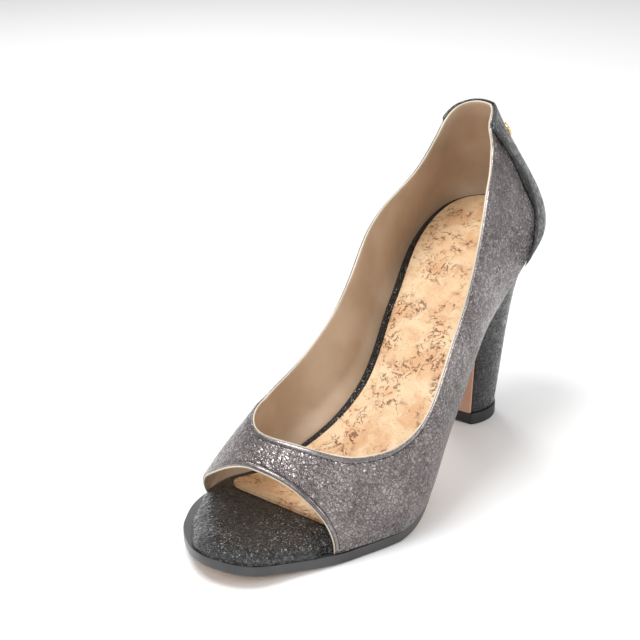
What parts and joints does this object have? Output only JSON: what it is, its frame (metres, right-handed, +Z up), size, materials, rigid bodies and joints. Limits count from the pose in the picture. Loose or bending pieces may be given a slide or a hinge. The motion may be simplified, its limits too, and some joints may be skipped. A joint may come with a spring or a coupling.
{
  "type": "peep toe pump",
  "caption": "Women's left peep toe pump on a high tapered heel, with a hollow low cut upper, cork sock, thin sole and a contrasting back counter.",
  "frame": {"origin": "middle of the heel tip's underside, on the floor", "axes": "+Z up from the floor, +Y from the toe to the back of the heel, +X to the outer side of the shoe"},
  "size_m": [0.0865, 0.219, 0.1481],
  "materials": {
    "pewter_leather": "crackled metallic leather with a soft shine",
    "black_leather": "crackled black leather with a glazed shine",
    "sole_leather": "smooth sole leather with a black waxed edge",
    "tan_leather": "smooth tan leather",
    "cork": "natural cork sheet, satin",
    "rubber": "black hard rubber",
    "gilt": "polished gilt metal"
  },
  "bodies": {
    "root": {"upper": "pewter_leather", "back_counter": "black_leather", "back_plaque": "gilt", "footbed": "black_leather", "cork_sock": "cork", "outsole": "sole_leather", "heel": "black_leather", "heel_breast": "tan_leather", "top_lift": "rubber"}
  },
  "joints": []
}
